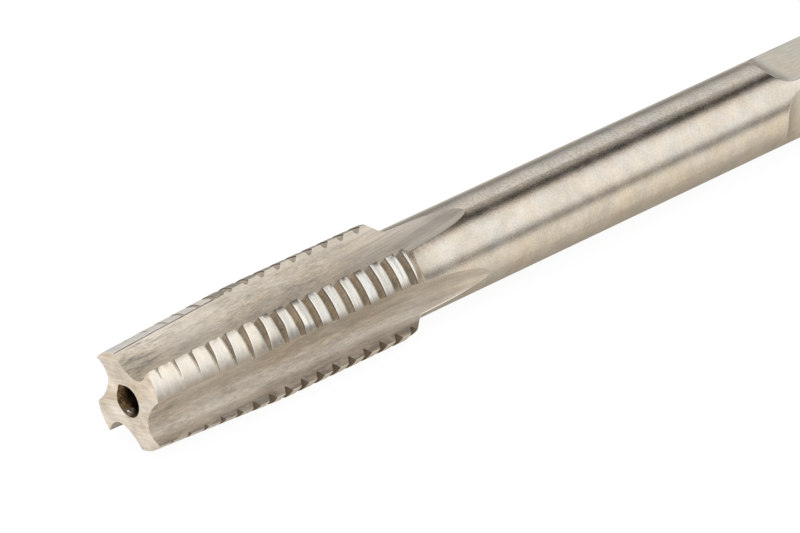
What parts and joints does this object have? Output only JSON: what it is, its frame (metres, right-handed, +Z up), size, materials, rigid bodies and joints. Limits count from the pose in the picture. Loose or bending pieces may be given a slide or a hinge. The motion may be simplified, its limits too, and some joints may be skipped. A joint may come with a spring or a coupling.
{
  "type": "hand tap",
  "caption": "Straight-fluted hand tap of bright ground steel, with a long tapered lead, hooked lands, a slimmer round shank and a square drive end.",
  "frame": {"origin": "centre of the front face, at the mouth of the front centre hole", "axes": "+X along the tap's axis towards the square drive end, +Z up as it lies at rest on two of its lands, +Y to the left seen from the front"},
  "size_m": [0.07, 0.008, 0.008],
  "materials": {
    "ground_steel": "satin ground"
  },
  "bodies": {
    "root": {"hand_tap": "ground_steel"}
  },
  "joints": []
}
